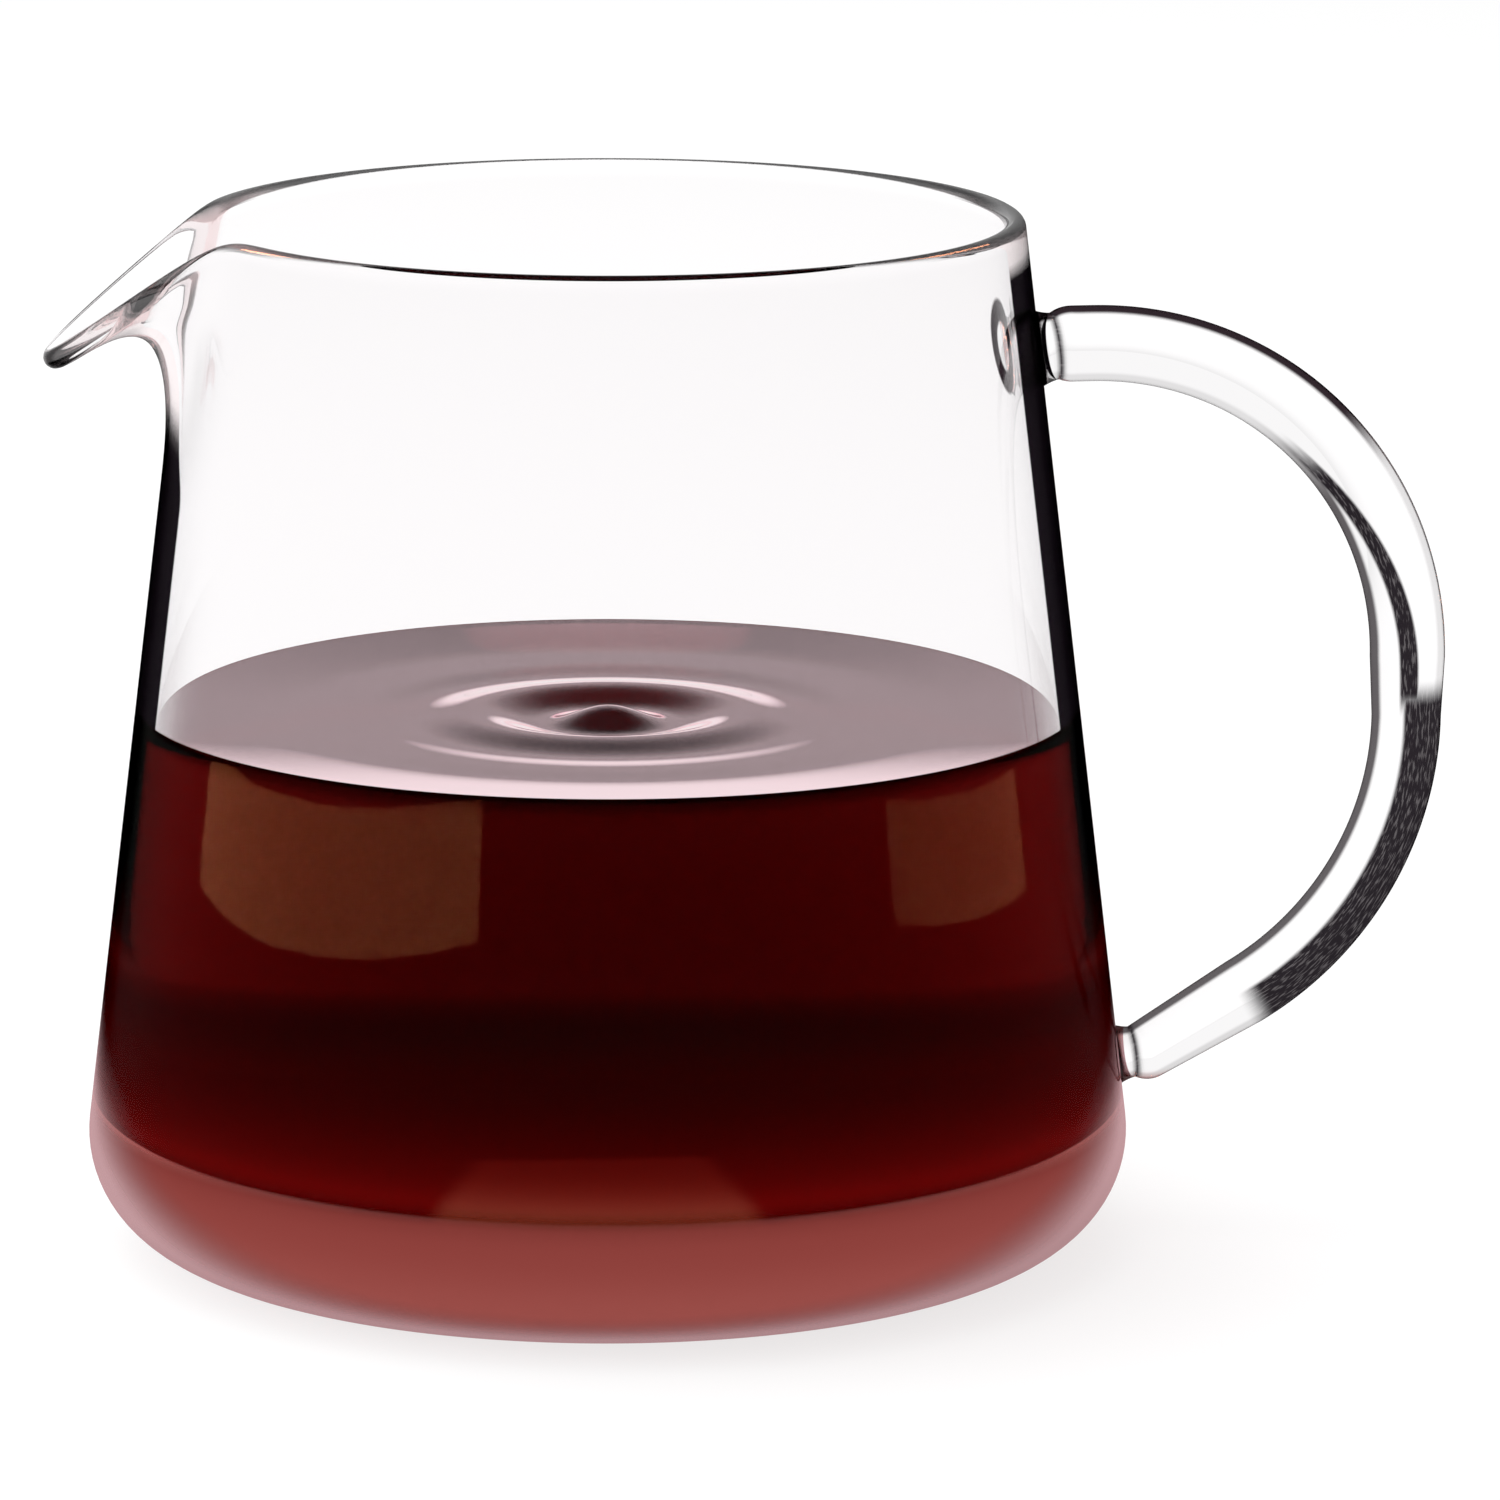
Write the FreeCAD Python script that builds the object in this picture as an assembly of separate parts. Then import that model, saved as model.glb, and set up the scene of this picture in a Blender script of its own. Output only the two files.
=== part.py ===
import FreeCAD, Part
import math
import os

# A small heat-proof glass pouring jug, half full of tea.
# The jug is one piece of glass: a tapering body with a thick foot, a beak drawn out of the rim,
# and a solid rod handle fused on opposite the beak. The tea is the second solid and rests in it.
# Millimetres. Z is up, the origin is the centre of the foot, the beak points to -X, the handle to +X.

# Body
RIM_HEIGHT = 106.2
MOUTH_RADIUS = 42.2
FOOT_RADIUS = 55.0
WALL = 2.2
FOOT_THICKNESS = 12.0
FOOT_CORNER_RADIUS = 11.5
CAVITY_CORNER_RADIUS = 6.0

# Beak
BEAK_REACH = 15.0
BEAK_DROOP = 12.4
BEAK_HALF_ANGLE = 40.0
BEAK_SHARPNESS = 12
BEAK_ROOT_HEIGHT = 78.0
BEAK_THROAT_HEIGHT = 96.0
BEAK_LIP_LENGTH = 12.0
BEAK_LIP_SLOPE = 33.0
BEAK_SECTION_STEP = 3.0
BEAK_SECTION_POINTS = 8
BEAK_SECTIONS_BEYOND = 5

# Handle
HANDLE_TOP_HEIGHT = 92.0
HANDLE_LEG_HEIGHT = 17.4
HANDLE_REACH = 83.6
HANDLE_GRIP_LENGTH = 6.2
HANDLE_LEG_SLOPE = 30.0
ROD_TOP_RADIUS = 3.9
ROD_BACK_RADIUS = 3.6
ROD_LEG_RADIUS = 3.1
PAD_FLARE = 0.8
PAD_THICKNESS = 2.1
PAD_GROOVE = 0.45
PAD_SEAT_DEPTH = 1.0

# Tea
FILL_HEIGHT = 55.0
MENISCUS_HEIGHT = 0.6
MENISCUS_RADIUS = 3.2

Z_AXIS = FreeCAD.Vector(0, 0, 1)
CENTRE = FreeCAD.Vector(0, 0, 0)
TAPER = math.atan((FOOT_RADIUS - MOUTH_RADIUS) / RIM_HEIGHT)
WALL_ACROSS = WALL / math.cos(TAPER)
BEAD_RADIUS = WALL / 2
BEAD_CENTRE_HEIGHT = RIM_HEIGHT - BEAD_RADIUS
JOIN_TOLERANCE = 0.001
WALL_NORMAL = FreeCAD.Vector(math.cos(TAPER), 0, math.sin(TAPER))


def point(radius, height, angle=0.0):
    """A point at a radius from the jug's axis, a height and an angle from +X in degrees."""
    turn = math.radians(angle)
    return FreeCAD.Vector(radius * math.cos(turn), radius * math.sin(turn), height)


def outer_radius(height):
    """Outside radius of the tapering wall at a height."""
    return FOOT_RADIUS - height * math.tan(TAPER)


def inner_radius(height):
    """Inside radius of the tapering wall at a height."""
    return outer_radius(height) - WALL_ACROSS


def middle_radius(height):
    """Radius of the surface midway through the wall at a height."""
    return outer_radius(height) - WALL_ACROSS / 2


def spline(points):
    """A smooth edge through points that are evenly spaced along it."""
    curve = Part.BSplineCurve()
    curve.interpolate(Points=points, Parameters=[float(index) for index in range(len(points))])
    return curve.toShape()


def corner_arc(centre_radius, centre_height, radius, start, end):
    """An arc in the XZ plane, from one angle to another in degrees, 0 along +X and 90 along +Z."""
    def at(angle):
        turn = math.radians(angle)
        return point(centre_radius + radius * math.cos(turn), centre_height + radius * math.sin(turn))
    return Part.Arc(at(start), at((start + end) / 2), at(end)).toShape()


def corner_centre(wall_radius, radius, floor_height):
    """Radius from the axis of the centre of an arc that touches a floor and the tapering wall."""
    centre_height = floor_height + radius
    return wall_radius(centre_height) - radius / math.cos(TAPER)


def bowl_edges(wall_radius, radius, floor_height, top_height):
    """Floor, rounded corner and tapering side of a bowl, from the axis up to a height."""
    centre_radius = corner_centre(wall_radius, radius, floor_height)
    arc = corner_arc(centre_radius, floor_height + radius, radius, -90, math.degrees(TAPER))
    floor_end = arc.valueAt(arc.FirstParameter)
    side_start = arc.valueAt(arc.LastParameter)
    side_end = point(wall_radius(top_height), top_height)
    return [
        Part.LineSegment(point(0, floor_height), floor_end).toShape(),
        arc,
        Part.LineSegment(side_start, side_end).toShape(),
    ]


def turned(edges):
    """A solid turned about Z from a closed outline in the XZ plane."""
    face = Part.Face(Part.Wire(edges))
    return face.revolve(CENTRE, Z_AXIS, 360)


def make_plain_body():
    """The body before its beak is drawn: a thick foot, a tapering wall and a rounded rim, all turned."""
    taper = math.degrees(TAPER)
    bead = corner_arc(middle_radius(BEAD_CENTRE_HEIGHT), BEAD_CENTRE_HEIGHT, BEAD_RADIUS, taper, taper + 180)
    outer_top = bead.valueAt(bead.FirstParameter)
    inner_top = bead.valueAt(bead.LastParameter)
    outside = bowl_edges(outer_radius, FOOT_CORNER_RADIUS, 0.0, outer_top.z)
    inside = bowl_edges(inner_radius, CAVITY_CORNER_RADIUS, FOOT_THICKNESS, inner_top.z)
    axis = Part.LineSegment(point(0, FOOT_THICKNESS), point(0, 0)).toShape()
    return turned(outside + [bead] + inside[::-1] + [axis])


def beak_share(angle):
    """How far the beak is drawn out at an angle from its middle: 1 in the middle, 0 at its sides."""
    if abs(angle) >= BEAK_HALF_ANGLE:
        return 0.0
    return math.cos(math.radians(90 * angle / BEAK_HALF_ANGLE)) ** BEAK_SHARPNESS


def mixed(first, second, share):
    """The point that is a share of the way from one point to another."""
    return first + (second - first) * share


def beak_middle(angle, along):
    """Point midway through the wall near the beak.

    The angle is measured from the beak's middle, and along runs from 0 at the root to 1 at the lip.
    Each upright line is a cubic curve that leaves the wall along its taper, and that bends
    outwards and then down as the beak's share grows.
    """
    share = beak_share(angle)
    turn = 180 + angle
    root = point(middle_radius(BEAK_ROOT_HEIGHT), BEAK_ROOT_HEIGHT, turn)
    plain_lip = point(middle_radius(BEAD_CENTRE_HEIGHT), BEAD_CENTRE_HEIGHT, turn)
    outwards = point(1, 0, turn)
    lip = plain_lip + outwards * BEAK_REACH * share - Z_AXIS * BEAK_DROOP * share
    slope = math.radians(BEAK_LIP_SLOPE)
    lip_direction = outwards * math.cos(slope) - Z_AXIS * math.sin(slope)
    throat = point(middle_radius(BEAK_THROAT_HEIGHT), BEAK_THROAT_HEIGHT, turn)
    first = mixed(mixed(root, plain_lip, 1 / 3), throat, share)
    second = mixed(mixed(root, plain_lip, 2 / 3), lip - lip_direction * BEAK_LIP_LENGTH, share)
    back = 1 - along
    return (
        root * back ** 3
        + first * 3 * back ** 2 * along
        + second * 3 * back * along ** 2
        + lip * along ** 3
    )


def beak_directions(angle, along):
    """Unit vectors at a point of the wall: out through it, and on past the lip."""
    step_angle = 0.05
    step_along = 0.001
    low = max(along - step_along, 0.0)
    high = min(along + step_along, 1.0)
    across = beak_middle(angle + step_angle, along) - beak_middle(angle - step_angle, along)
    upwards = beak_middle(angle, high) - beak_middle(angle, low)
    outwards = across.cross(upwards).normalize()
    onwards = outwards.cross(across).normalize()
    return outwards, onwards


def beak_section(angle):
    """Closed outline of the wall at an angle from the beak's middle, with a rounded lip."""
    turn = 180 + angle
    steps = [step / BEAK_SECTION_POINTS for step in range(1, BEAK_SECTION_POINTS + 1)]
    outer = [point(outer_radius(BEAK_ROOT_HEIGHT), BEAK_ROOT_HEIGHT, turn)]
    inner = [point(inner_radius(BEAK_ROOT_HEIGHT), BEAK_ROOT_HEIGHT, turn)]
    for along in steps:
        middle = beak_middle(angle, along)
        outwards, onwards = beak_directions(angle, along)
        outer.append(middle + outwards * BEAD_RADIUS)
        inner.append(middle - outwards * BEAD_RADIUS)
    bead = Part.Arc(outer[-1], middle + onwards * BEAD_RADIUS, inner[-1])
    return Part.Wire([
        spline(outer),
        bead.toShape(),
        spline(inner[::-1]),
        Part.LineSegment(inner[0], outer[0]).toShape(),
    ])


def make_beak_window():
    """The sector of space, from the beak's root upwards, in which the beak takes the plain wall's place."""
    height = 2 * (RIM_HEIGHT - BEAK_ROOT_HEIGHT)
    radius = 2 * (MOUTH_RADIUS + BEAK_REACH)
    sector = Part.makeCylinder(radius, height, point(0, BEAK_ROOT_HEIGHT), Z_AXIS, 2 * BEAK_HALF_ANGLE)
    sector.rotate(CENTRE, Z_AXIS, 180 - BEAK_HALF_ANGLE)
    return sector


def make_beak():
    """The wall that the beak is drawn out of, carried on past its sides, where it is plain again."""
    half_count = round(BEAK_HALF_ANGLE / BEAK_SECTION_STEP) + BEAK_SECTIONS_BEYOND
    step = BEAK_HALF_ANGLE / (half_count - BEAK_SECTIONS_BEYOND)
    angles = [step * index for index in range(-half_count, half_count + 1)]
    return Part.makeLoft([beak_section(angle) for angle in angles], True, False)


def rod_end_height(radius):
    """Height over the wall of the middle of a rod's round end, whose groove meets its pad's neck."""
    return PAD_THICKNESS + math.sqrt(radius ** 2 - (radius - PAD_GROOVE) ** 2)


def rod_end_radius(height, radius):
    """Distance from the jug's axis to the middle of a rod's round end at a height."""
    return outer_radius(height) + rod_end_height(radius) / math.cos(TAPER)


def handle_path():
    """Centre line of the rod: a level top, a bend, a short grip, a bend and a leg that slopes down.

    Both bends have the one radius that brings the leg down to its place on the wall.
    """
    top_start = point(rod_end_radius(HANDLE_TOP_HEIGHT, ROD_TOP_RADIUS), HANDLE_TOP_HEIGHT)
    leg_end = point(rod_end_radius(HANDLE_LEG_HEIGHT, ROD_LEG_RADIUS), HANDLE_LEG_HEIGHT)
    slope = math.radians(HANDLE_LEG_SLOPE)
    drop = HANDLE_TOP_HEIGHT - HANDLE_GRIP_LENGTH - leg_end.z
    reach = HANDLE_REACH - leg_end.x
    bend = (drop * math.cos(slope) - reach * math.sin(slope)) / (1 + math.cos(slope) - math.sin(slope))
    upper = corner_arc(HANDLE_REACH - bend, HANDLE_TOP_HEIGHT - bend, bend, 90, 0)
    lower_height = HANDLE_TOP_HEIGHT - bend - HANDLE_GRIP_LENGTH
    lower = corner_arc(HANDLE_REACH - bend, lower_height, bend, 0, HANDLE_LEG_SLOPE - 90)
    return [
        Part.LineSegment(top_start, upper.valueAt(upper.FirstParameter)).toShape(),
        upper,
        Part.LineSegment(upper.valueAt(upper.LastParameter), lower.valueAt(lower.FirstParameter)).toShape(),
        lower,
        Part.LineSegment(lower.valueAt(lower.LastParameter), leg_end).toShape(),
    ]


def rod_stretch(edge, start_radius, end_radius):
    """The rod along one edge of its path. Only a straight stretch can get thinner."""
    start = edge.valueAt(edge.FirstParameter)
    onwards = edge.tangentAt(edge.FirstParameter)
    if isinstance(edge.Curve, Part.Circle):
        section = Part.Face(Part.Wire(Part.Circle(start, onwards, start_radius).toShape()))
        sweep = math.degrees(edge.LastParameter - edge.FirstParameter)
        return section.revolve(edge.Curve.Center, edge.Curve.Axis, sweep)
    if start_radius == end_radius:
        return Part.makeCylinder(start_radius, edge.Length, start, onwards)
    return Part.makeCone(start_radius, end_radius, edge.Length, start, onwards)


def make_pad(rod_end, radius):
    """The pad between the wall and a rod's round end, turned about the wall's normal.

    It is sunk into the wall, flares where it meets it, and its neck runs into the round end.
    """
    rod_height = rod_end_height(radius)
    along_wall = FreeCAD.Vector(-WALL_NORMAL.z, 0, WALL_NORMAL.x)

    def at(out, height):
        return rod_end + WALL_NORMAL * (height - rod_height) + along_wall * out

    foot = radius + PAD_FLARE
    neck = radius - PAD_GROOVE
    side = Part.Arc(at(foot, -PAD_SEAT_DEPTH), at(radius, PAD_THICKNESS / 2), at(neck, PAD_THICKNESS))
    outline = Part.Wire([
        Part.LineSegment(at(0, -PAD_SEAT_DEPTH), at(foot, -PAD_SEAT_DEPTH)).toShape(),
        side.toShape(),
        Part.LineSegment(at(neck, PAD_THICKNESS), at(neck, rod_height)).toShape(),
        Part.LineSegment(at(neck, rod_height), at(0, rod_height)).toShape(),
        Part.LineSegment(at(0, rod_height), at(0, -PAD_SEAT_DEPTH)).toShape(),
    ])
    return Part.Face(outline).revolve(rod_end, WALL_NORMAL, 360)


def make_handle():
    """The rod, its two round ends and the two pads under them, as one solid."""
    path = handle_path()
    radii = [ROD_TOP_RADIUS] * 3 + [ROD_BACK_RADIUS] * 2 + [ROD_LEG_RADIUS]
    pieces = [rod_stretch(*stretch) for stretch in zip(path, radii[:-1], radii[1:])]
    top_end = path[0].valueAt(path[0].FirstParameter)
    leg_end = path[-1].valueAt(path[-1].LastParameter)
    for end, radius in ((top_end, ROD_TOP_RADIUS), (leg_end, ROD_LEG_RADIUS)):
        pieces.append(Part.makeSphere(radius, end))
        pieces.append(make_pad(end, radius))
    return pieces[0].fuse(pieces[1:])


def make_jug():
    """The whole jug, one solid of glass."""
    window = make_beak_window()
    body = make_plain_body().cut(window).fuse([make_beak().common(window)], JOIN_TOLERANCE)
    return body.fuse(make_handle()).removeSplitter()


def make_tea():
    """The tea: the shape of the cavity up to the fill height, with its edge drawn up the glass."""
    wet_height = FILL_HEIGHT + MENISCUS_HEIGHT
    climb = math.acos(1 - MENISCUS_HEIGHT / MENISCUS_RADIUS)
    level_radius = inner_radius(wet_height) - MENISCUS_RADIUS * math.sin(climb)
    centre_height = FILL_HEIGHT + MENISCUS_RADIUS
    edge = corner_arc(level_radius, centre_height, MENISCUS_RADIUS, math.degrees(climb) - 90, -90)
    surface = Part.LineSegment(point(level_radius, FILL_HEIGHT), point(0, FILL_HEIGHT)).toShape()
    axis = Part.LineSegment(point(0, FILL_HEIGHT), point(0, FOOT_THICKNESS)).toShape()
    sides = bowl_edges(inner_radius, CAVITY_CORNER_RADIUS, FOOT_THICKNESS, wet_height)
    return turned(sides + [edge, surface, axis])


def main():
    """Write one STEP file for each piece."""
    os.makedirs("parts", exist_ok=True)
    for name, shape in {"jug": make_jug(), "tea": make_tea()}.items():
        solid = shape.Solids[0] if len(shape.Solids) == 1 else shape
        print(name, "solids", len(shape.Solids), "valid", shape.isValid(), "volume", round(shape.Volume, 1))
        solid.exportStep("parts/" + name + ".step")


main()
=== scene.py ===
"""Looks of a small glass pouring jug, half full of tea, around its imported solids.

The jug is one piece of clear glass, worked out as one surface: a body turned on a lathe with a
beak drawn out of its rim, fused with a solid rod handle. The tea is a second surface that wets
the glass and carries the rings of a drop that has just fallen in. Lengths are in metres. Z is up,
the beak points to -X and the handle to +X, as in the frame.
"""
import logging
import math
from collections.abc import Iterable
from dataclasses import dataclass, field
from enum import Enum
from functools import reduce

import bpy
import numpy as np
from mathutils import Matrix, Vector


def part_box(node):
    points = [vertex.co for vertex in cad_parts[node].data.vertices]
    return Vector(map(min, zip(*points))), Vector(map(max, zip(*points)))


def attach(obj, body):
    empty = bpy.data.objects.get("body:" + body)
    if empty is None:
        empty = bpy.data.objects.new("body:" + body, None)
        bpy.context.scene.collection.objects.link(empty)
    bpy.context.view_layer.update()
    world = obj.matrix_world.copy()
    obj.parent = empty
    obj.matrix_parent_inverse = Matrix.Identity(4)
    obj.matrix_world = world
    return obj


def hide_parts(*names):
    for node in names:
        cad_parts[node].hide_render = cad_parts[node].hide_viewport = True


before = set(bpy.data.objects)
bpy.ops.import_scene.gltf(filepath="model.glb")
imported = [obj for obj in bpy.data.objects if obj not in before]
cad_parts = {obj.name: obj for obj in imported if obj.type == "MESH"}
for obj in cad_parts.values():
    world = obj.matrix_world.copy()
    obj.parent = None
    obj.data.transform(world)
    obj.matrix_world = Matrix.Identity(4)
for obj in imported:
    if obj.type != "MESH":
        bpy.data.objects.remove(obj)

Colour = tuple[float, float, float, float]
Socket = bpy.types.NodeSocket
LOG = logging.getLogger("jug")
MM = 0.001
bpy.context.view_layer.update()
WARM = (1.0, 0.42, 0.20)


class Body(Enum):
    """The moving bodies of the frame."""

    ROOT = "root"


class Slot(Enum):
    """The record's material slots."""

    GLASS = "clear_glass"
    TEA = "tea"


class Mark(Enum):
    """Names of the values that a surface's points carry for its finish and for where light and shade are
    painted on it.

    They run from 0 to 1, apart from the rod's side, -1 at its inside and 1 at its outside, and the
    length along it, in metres from its top end.
    """

    # Slender sets how strongly painted dark outlines and reflections show; lit marks where trapped light is
    # not painted dark.
    SLENDER = "slender"
    CAVITY = "cavity"
    LIT = "lit"
    FREE = "free"
    SIDE = "side_of_rod"
    LENGTH = "length_along_rod"
    # The pad mark is the strength of painted shade on the rod's pads.
    PAD_SHADE = "pad"


# Shapes worked out as arrays


def mixed(first: np.ndarray, second: np.ndarray, share: np.ndarray) -> np.ndarray:
    """Return first + (second - first) * share, the point a share of the way along."""
    return first + (second - first) * share


def unit(vectors: np.ndarray) -> np.ndarray:
    """Return the vectors at a length of 1."""
    return vectors / np.linalg.norm(vectors, axis=-1, keepdims=True)


@dataclass(frozen=True)
class Change:
    """A smooth change of a number, which is at_low below low and at_high above high."""

    low: float
    high: float
    at_low: float = 0.0
    at_high: float = 1.0

    def of(self, values: np.ndarray) -> np.ndarray:
        """Return at_low + (at_high - at_low) * t^2 (3 - 2 t), t being the share of the way to high."""
        share = np.clip((values - self.low) / (self.high - self.low), 0, 1)
        return self.at_low + (self.at_high - self.at_low) * share**2 * (3 - 2 * share)


def on_cylinder(radius: np.ndarray, height: np.ndarray, angle: np.ndarray) -> np.ndarray:
    """Return the points x = radius cos(angle), y = radius sin(angle), z = height."""
    radius, height, angle = np.broadcast_arrays(radius, height, angle)
    return np.stack([radius * np.cos(angle), radius * np.sin(angle), height], axis=-1)


def arc_profile(
    centre: tuple[float, float], radius: float, start: float, end: float, count: int
) -> np.ndarray:
    """Return count points centre + radius * (cos t, sin t), t being even from start to end degrees."""
    turn = np.radians(np.linspace(start, end, count))
    return np.array(centre) + radius * np.stack([np.cos(turn), np.sin(turn)], axis=-1)


def line_profile(start: np.ndarray, end: np.ndarray, count: int) -> np.ndarray:
    """Return count points, evenly spaced from start to end, both included."""
    return mixed(np.asarray(start), np.asarray(end), np.linspace(0, 1, count)[:, None])


def ring_faces(rows: int, columns: int) -> list[tuple[int, ...]]:
    """Faces of a closed surface of rings, whose first and last vertex are its two poles.

    Args:
        rows: How many rings.
        columns: How many points each ring has.

    Returns:
        Quads between neighbouring rings and triangles from the end rings to the poles.
    """
    here = np.arange(columns)
    after = (here + 1) % columns
    start = 1 + columns * np.arange(rows - 1)[:, None]
    quads = np.stack([start + here, start + after, start + columns + after, start + columns + here], axis=-1)
    last = 1 + columns * (rows - 1)
    first_fan = np.stack([np.zeros_like(here), 1 + after, 1 + here], axis=-1)
    last_fan = np.stack([np.full_like(here, last + columns), last + here, last + after], axis=-1)
    return quads.reshape(-1, 4).tolist() + first_fan.tolist() + last_fan.tolist()


def ring_object(name: str, rings: np.ndarray, marks: dict[Mark, np.ndarray]) -> bpy.types.Object:
    """Make an object from rings of points, closed at both ends, with its faces outwards.

    Args:
        name: The object's name.
        rings: Points with the shape rings, points around, 3.
        marks: For each mark, its values on the rings, or on the rings' points.

    Returns:
        The object, at the origin, with its place in its mesh.
    """
    rows, columns = rings.shape[:2]
    points = np.concatenate([rings[:1].mean(axis=1), rings.reshape(-1, 3), rings[-1:].mean(axis=1)])
    faces = ring_faces(rows, columns)
    quads = np.array(faces[: (rows - 1) * columns])
    a, b, c, d = (points[quads[:, corner]] for corner in range(4))
    volume = np.einsum("ij,ij->", a, np.cross(b, c)) + np.einsum("ij,ij->", a, np.cross(c, d))
    if volume < 0:
        faces = [face[::-1] for face in faces]
    mesh = bpy.data.meshes.new(name)
    mesh.from_pydata(points.tolist(), [], faces)
    mesh.shade_smooth()
    for mark, values in marks.items():
        grid = np.broadcast_to(values.reshape(rows, -1), (rows, columns))
        set_mark(mesh, mark, np.concatenate([grid[0, :1], grid.ravel(), grid[-1, :1]]))
    piece = bpy.data.objects.new(name, mesh)
    bpy.context.scene.collection.objects.link(piece)
    return piece


def set_mark(mesh: bpy.types.Mesh, mark: Mark, values: np.ndarray) -> None:
    """Write a mark's value at every point of a mesh."""
    layer = mesh.attributes.get(mark.value) or mesh.attributes.new(mark.value, "FLOAT", "POINT")
    layer.data.foreach_set("value", values.astype(np.float32))


def read_mark(mesh: bpy.types.Mesh, mark: Mark) -> np.ndarray:
    """Read a mark's value at every point of a mesh."""
    values = np.empty(len(mesh.vertices), dtype=np.float32)
    mesh.attributes[mark.value].data.foreach_get("value", values)
    return values


def fused(first: bpy.types.Object, second: bpy.types.Object) -> bpy.types.Object:
    """Melt the second object into the first, so that no surface is left inside.

    Args:
        first: The object that stays.
        second: The object that is taken up and removed.

    Returns:
        The first object, with its new mesh.
    """
    union = first.modifiers.new("fuse", "BOOLEAN")
    union.operation = "UNION"
    union.solver = "EXACT"
    union.object = second
    graph = bpy.context.evaluated_depsgraph_get()
    mesh = bpy.data.meshes.new_from_object(first.evaluated_get(graph))
    first.modifiers.remove(union)
    old = first.data
    first.data = mesh
    mesh.name = first.name
    bpy.data.meshes.remove(old)
    other = second.data
    bpy.data.objects.remove(second)
    bpy.data.meshes.remove(other)
    mesh.shade_smooth()
    return first


# Shader nodes


@dataclass
class Graph:
    """Adds shader nodes to a tree and joins them."""

    tree: bpy.types.NodeTree

    def add(self, kind: str, **settings: object) -> bpy.types.Node:
        """Add a node.

        Args:
            kind: The node's type name.
            **settings: Properties of the node to set.

        Returns:
            The new node.
        """
        node = self.tree.nodes.new(kind)
        for name, value in settings.items():
            setattr(node, name, value)
        return node

    def feed(self, socket: Socket, value: object) -> None:
        """Link a socket to another one, or set its value."""
        if isinstance(value, Socket):
            self.tree.links.new(value, socket)
        else:
            socket.default_value = value

    def feed_all(self, sockets: Iterable[Socket], values: Iterable[object]) -> None:
        """Feed each socket its value."""
        for socket, value in zip(sockets, values):
            self.feed(socket, value)

    def math(self, operation: str, first: object, second: object = 0.0) -> Socket:
        """Work a number out of one or two others, each a number or a socket."""
        node = self.add("ShaderNodeMath", operation=operation)
        self.feed_all(node.inputs, (first, second))
        return node.outputs[0]

    def product(self, *factors: object) -> Socket:
        """Return the product of some numbers."""
        return reduce(lambda so_far, factor: self.math("MULTIPLY", so_far, factor), factors)

    def largest(self, *values: object) -> Socket:
        """Return the largest of some numbers."""
        return reduce(lambda so_far, value: self.math("MAXIMUM", so_far, value), values)

    def rest(self, share: object) -> Socket:
        """Return what a share leaves of 1."""
        return self.math("SUBTRACT", 1.0, share)

    def distance(self, first: object, second: object) -> Socket:
        """Return how far apart two numbers are."""
        return self.math("ABSOLUTE", self.math("SUBTRACT", first, second))

    def changed(self, value: object, change: Change) -> Socket:
        """Carry a number through a smooth change and return the result's socket."""
        node = self.add("ShaderNodeMapRange", interpolation_type="SMOOTHSTEP")
        sockets = (node.inputs[name] for name in ("Value", "From Min", "From Max", "To Min", "To Max"))
        self.feed_all(sockets, (value, change.low, change.high, change.at_low, change.at_high))
        return node.outputs["Result"]

    def blend_numbers(self, share: object, first: object, second: object) -> Socket:
        """Mix two numbers by a share and return the result's socket."""
        node = self.add("ShaderNodeMix", data_type="FLOAT")
        self.feed_all((node.inputs[0], node.inputs[2], node.inputs[3]), (share, first, second))
        return node.outputs[0]

    def blend_colours(self, share: object, first: object, second: object) -> Socket:
        """Mix two colours by a share and return the result's socket."""
        node = self.add("ShaderNodeMix", data_type="RGBA")
        self.feed_all((node.inputs[0], node.inputs[6], node.inputs[7]), (share, first, second))
        return node.outputs[2]

    def blend_shaders(self, share: object, first: object, second: object) -> Socket:
        """Mix two shaders by a share and return the result's socket."""
        node = self.add("ShaderNodeMixShader")
        self.feed_all(node.inputs, (share, first, second))
        return node.outputs[0]

    def coloured(self, kind: str, colour: object, **inputs: object) -> Socket:
        """Add a shader of a kind with a colour and other inputs, and return its socket."""
        node = self.add(kind)
        self.feed(node.inputs["Color"], colour)
        self.feed_all((node.inputs[name] for name in inputs), inputs.values())
        return node.outputs[0]

    def fresnel(self, ior: float) -> Socket:
        """Return the share of light that a smooth surface of this index throws back."""
        node = self.add("ShaderNodeFresnel")
        node.inputs["IOR"].default_value = ior
        return node.outputs[0]

    def turned_away(self) -> Socket:
        """Return 0 where the surface faces the ray and 1 where it is seen edge-on."""
        return self.add("ShaderNodeLayerWeight").outputs["Facing"]

    def mark(self, mark: Mark) -> Socket:
        """Return a socket with the value that the surface carries for a mark."""
        return self.add("ShaderNodeAttribute", attribute_name=mark.value).outputs["Fac"]

    def seen(self) -> Socket:
        """Return 1 for rays from the camera, from a mirror or through glass."""
        path = self.add("ShaderNodeLightPath").outputs
        return self.largest(path["Is Camera Ray"], path["Is Glossy Ray"], path["Is Transmission Ray"])

    def with_clear_shadow(self, surface: Socket, shadow: Colour) -> Socket:
        """Let a coloured share of the light that is on its way to a lamp straight through."""
        to_lamp = self.add("ShaderNodeLightPath").outputs["Is Shadow Ray"]
        return self.blend_shaders(to_lamp, surface, self.coloured("ShaderNodeBsdfTransparent", shadow))


def blank_material(name: str) -> tuple[bpy.types.Material, Graph, bpy.types.Node]:
    """Make a material with nothing but its output.

    Args:
        name: The material's name.

    Returns:
        The material, its graph and its output node.
    """
    material = bpy.data.materials.new(name)
    material.use_nodes = True
    material.node_tree.nodes.clear()
    graph = Graph(material.node_tree)
    return material, graph, graph.add("ShaderNodeOutputMaterial")


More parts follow.
